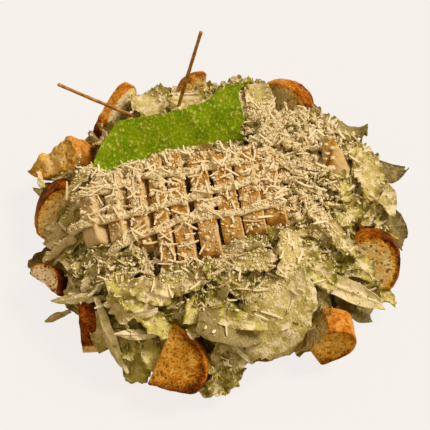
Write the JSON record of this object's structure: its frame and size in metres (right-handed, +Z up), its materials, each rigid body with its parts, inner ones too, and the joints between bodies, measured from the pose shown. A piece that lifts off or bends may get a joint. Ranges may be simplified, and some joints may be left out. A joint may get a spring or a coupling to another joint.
{
  "type": "caesar salad",
  "caption": "Caesar salad: a low heap of dressed lettuce topped with a sliced browned chicken breast, grated cheese, croutons, a green crisp and crisp sticks.",
  "frame": {"origin": "bottom centre of the whole salad's box, on the surface it lies on", "axes": "+Z up; -Y towards the diner; +X to the diner's right, across the sliced chicken"},
  "size_m": [0.2652, 0.2604, 0.1263],
  "materials": {
    "dressed_lettuce": "cut romaine leaves coated in creamy dressing",
    "browned_chicken": "grilled chicken breast, golden brown outside, pale where cut",
    "toasted_bread": "toasted baguette, porous crumb and brown crust",
    "green_crisp": "thin bubbly green crisp",
    "baked_stick": "thin baked stick"
  },
  "bodies": {
    "root": {"lettuce_heap": "dressed_lettuce", "chicken_slice_01": "browned_chicken", "chicken_slice_02": "browned_chicken", "chicken_slice_03": "browned_chicken", "chicken_slice_04": "browned_chicken", "chicken_slice_05": "browned_chicken", "chicken_slice_06": "browned_chicken", "chicken_slice_07": "browned_chicken", "chicken_slice_08": "browned_chicken", "chicken_slice_09": "browned_chicken", "chicken_tip": "browned_chicken", "crouton_back": "toasted_bread", "crouton_back_left": "toasted_bread", "crouton_left_upper": "toasted_bread", "crouton_left": "toasted_bread", "crouton_left_lower": "toasted_bread", "crouton_front_left": "toasted_bread", "crouton_front": "toasted_bread", "crouton_front_right": "toasted_bread", "crouton_right": "toasted_bread", "crouton_back_right": "toasted_bread", "green_crisp": "green_crisp", "crisp_stick_left": "baked_stick", "crisp_stick_right": "baked_stick"}
  },
  "joints": []
}
